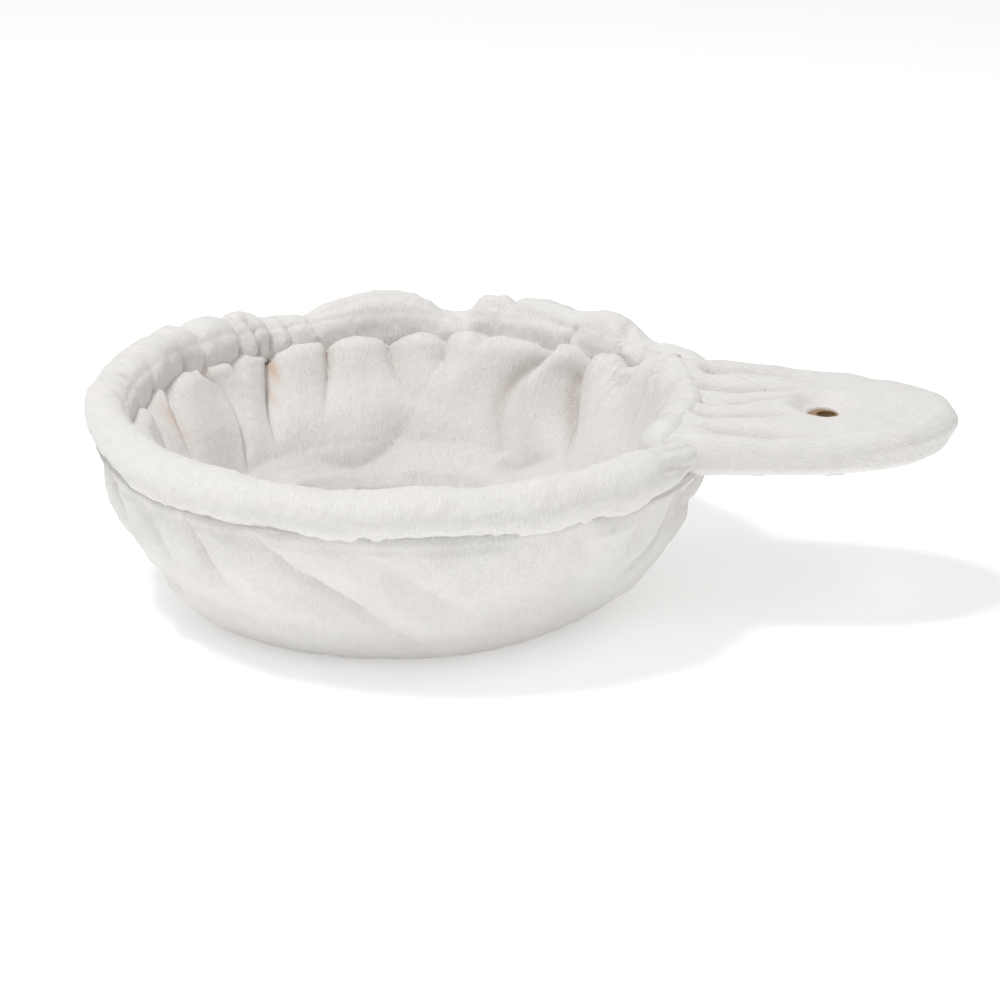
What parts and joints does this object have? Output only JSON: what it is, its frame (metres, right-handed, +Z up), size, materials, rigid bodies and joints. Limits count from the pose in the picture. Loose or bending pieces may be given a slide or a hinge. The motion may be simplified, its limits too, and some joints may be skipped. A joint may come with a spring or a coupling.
{
  "type": "pet cushion bed",
  "caption": "Round padded plush bowl bed sewn to a padded hoop, with a flat covered board tongue that a bolt holds between the posts of a cat tree.",
  "frame": {"origin": "under the middle of the whole length, on the surface that the base rests on", "axes": "+X runs out along the tongue, +Z is up, +Y completes the right-handed frame"},
  "size_m": [0.4556, 0.3486, 0.1118],
  "materials": {
    "plush": "short-pile cream-white plush",
    "backing": "thin woven backing cloth",
    "wadding": "polyester wadding",
    "foam": "open-cell foam",
    "plywood": "unfinished plywood",
    "steel": "plain zinc-plated steel"
  },
  "bodies": {
    "root": {"hoop_rod": "steel", "rim_foam": "foam", "rim_casing": "plush", "wall_outer": "plush", "base_outer": "plush", "wall_wadding": "wadding", "lining_wall": "plush", "lining_base": "plush", "base_pad": "foam", "tongue_board": "plywood", "tongue_cover": "plush", "tongue_under_panel": "backing", "rod_plate_left": "steel", "rod_plate_right": "steel", "plate_screw_1": "steel", "plate_screw_2": "steel", "plate_screw_3": "steel", "plate_screw_4": "steel", "staple_1": "steel", "staple_2": "steel", "staple_3": "steel", "staple_4": "steel", "staple_5": "steel", "staple_6": "steel", "staple_7": "steel", "staple_8": "steel"}
  },
  "joints": []
}
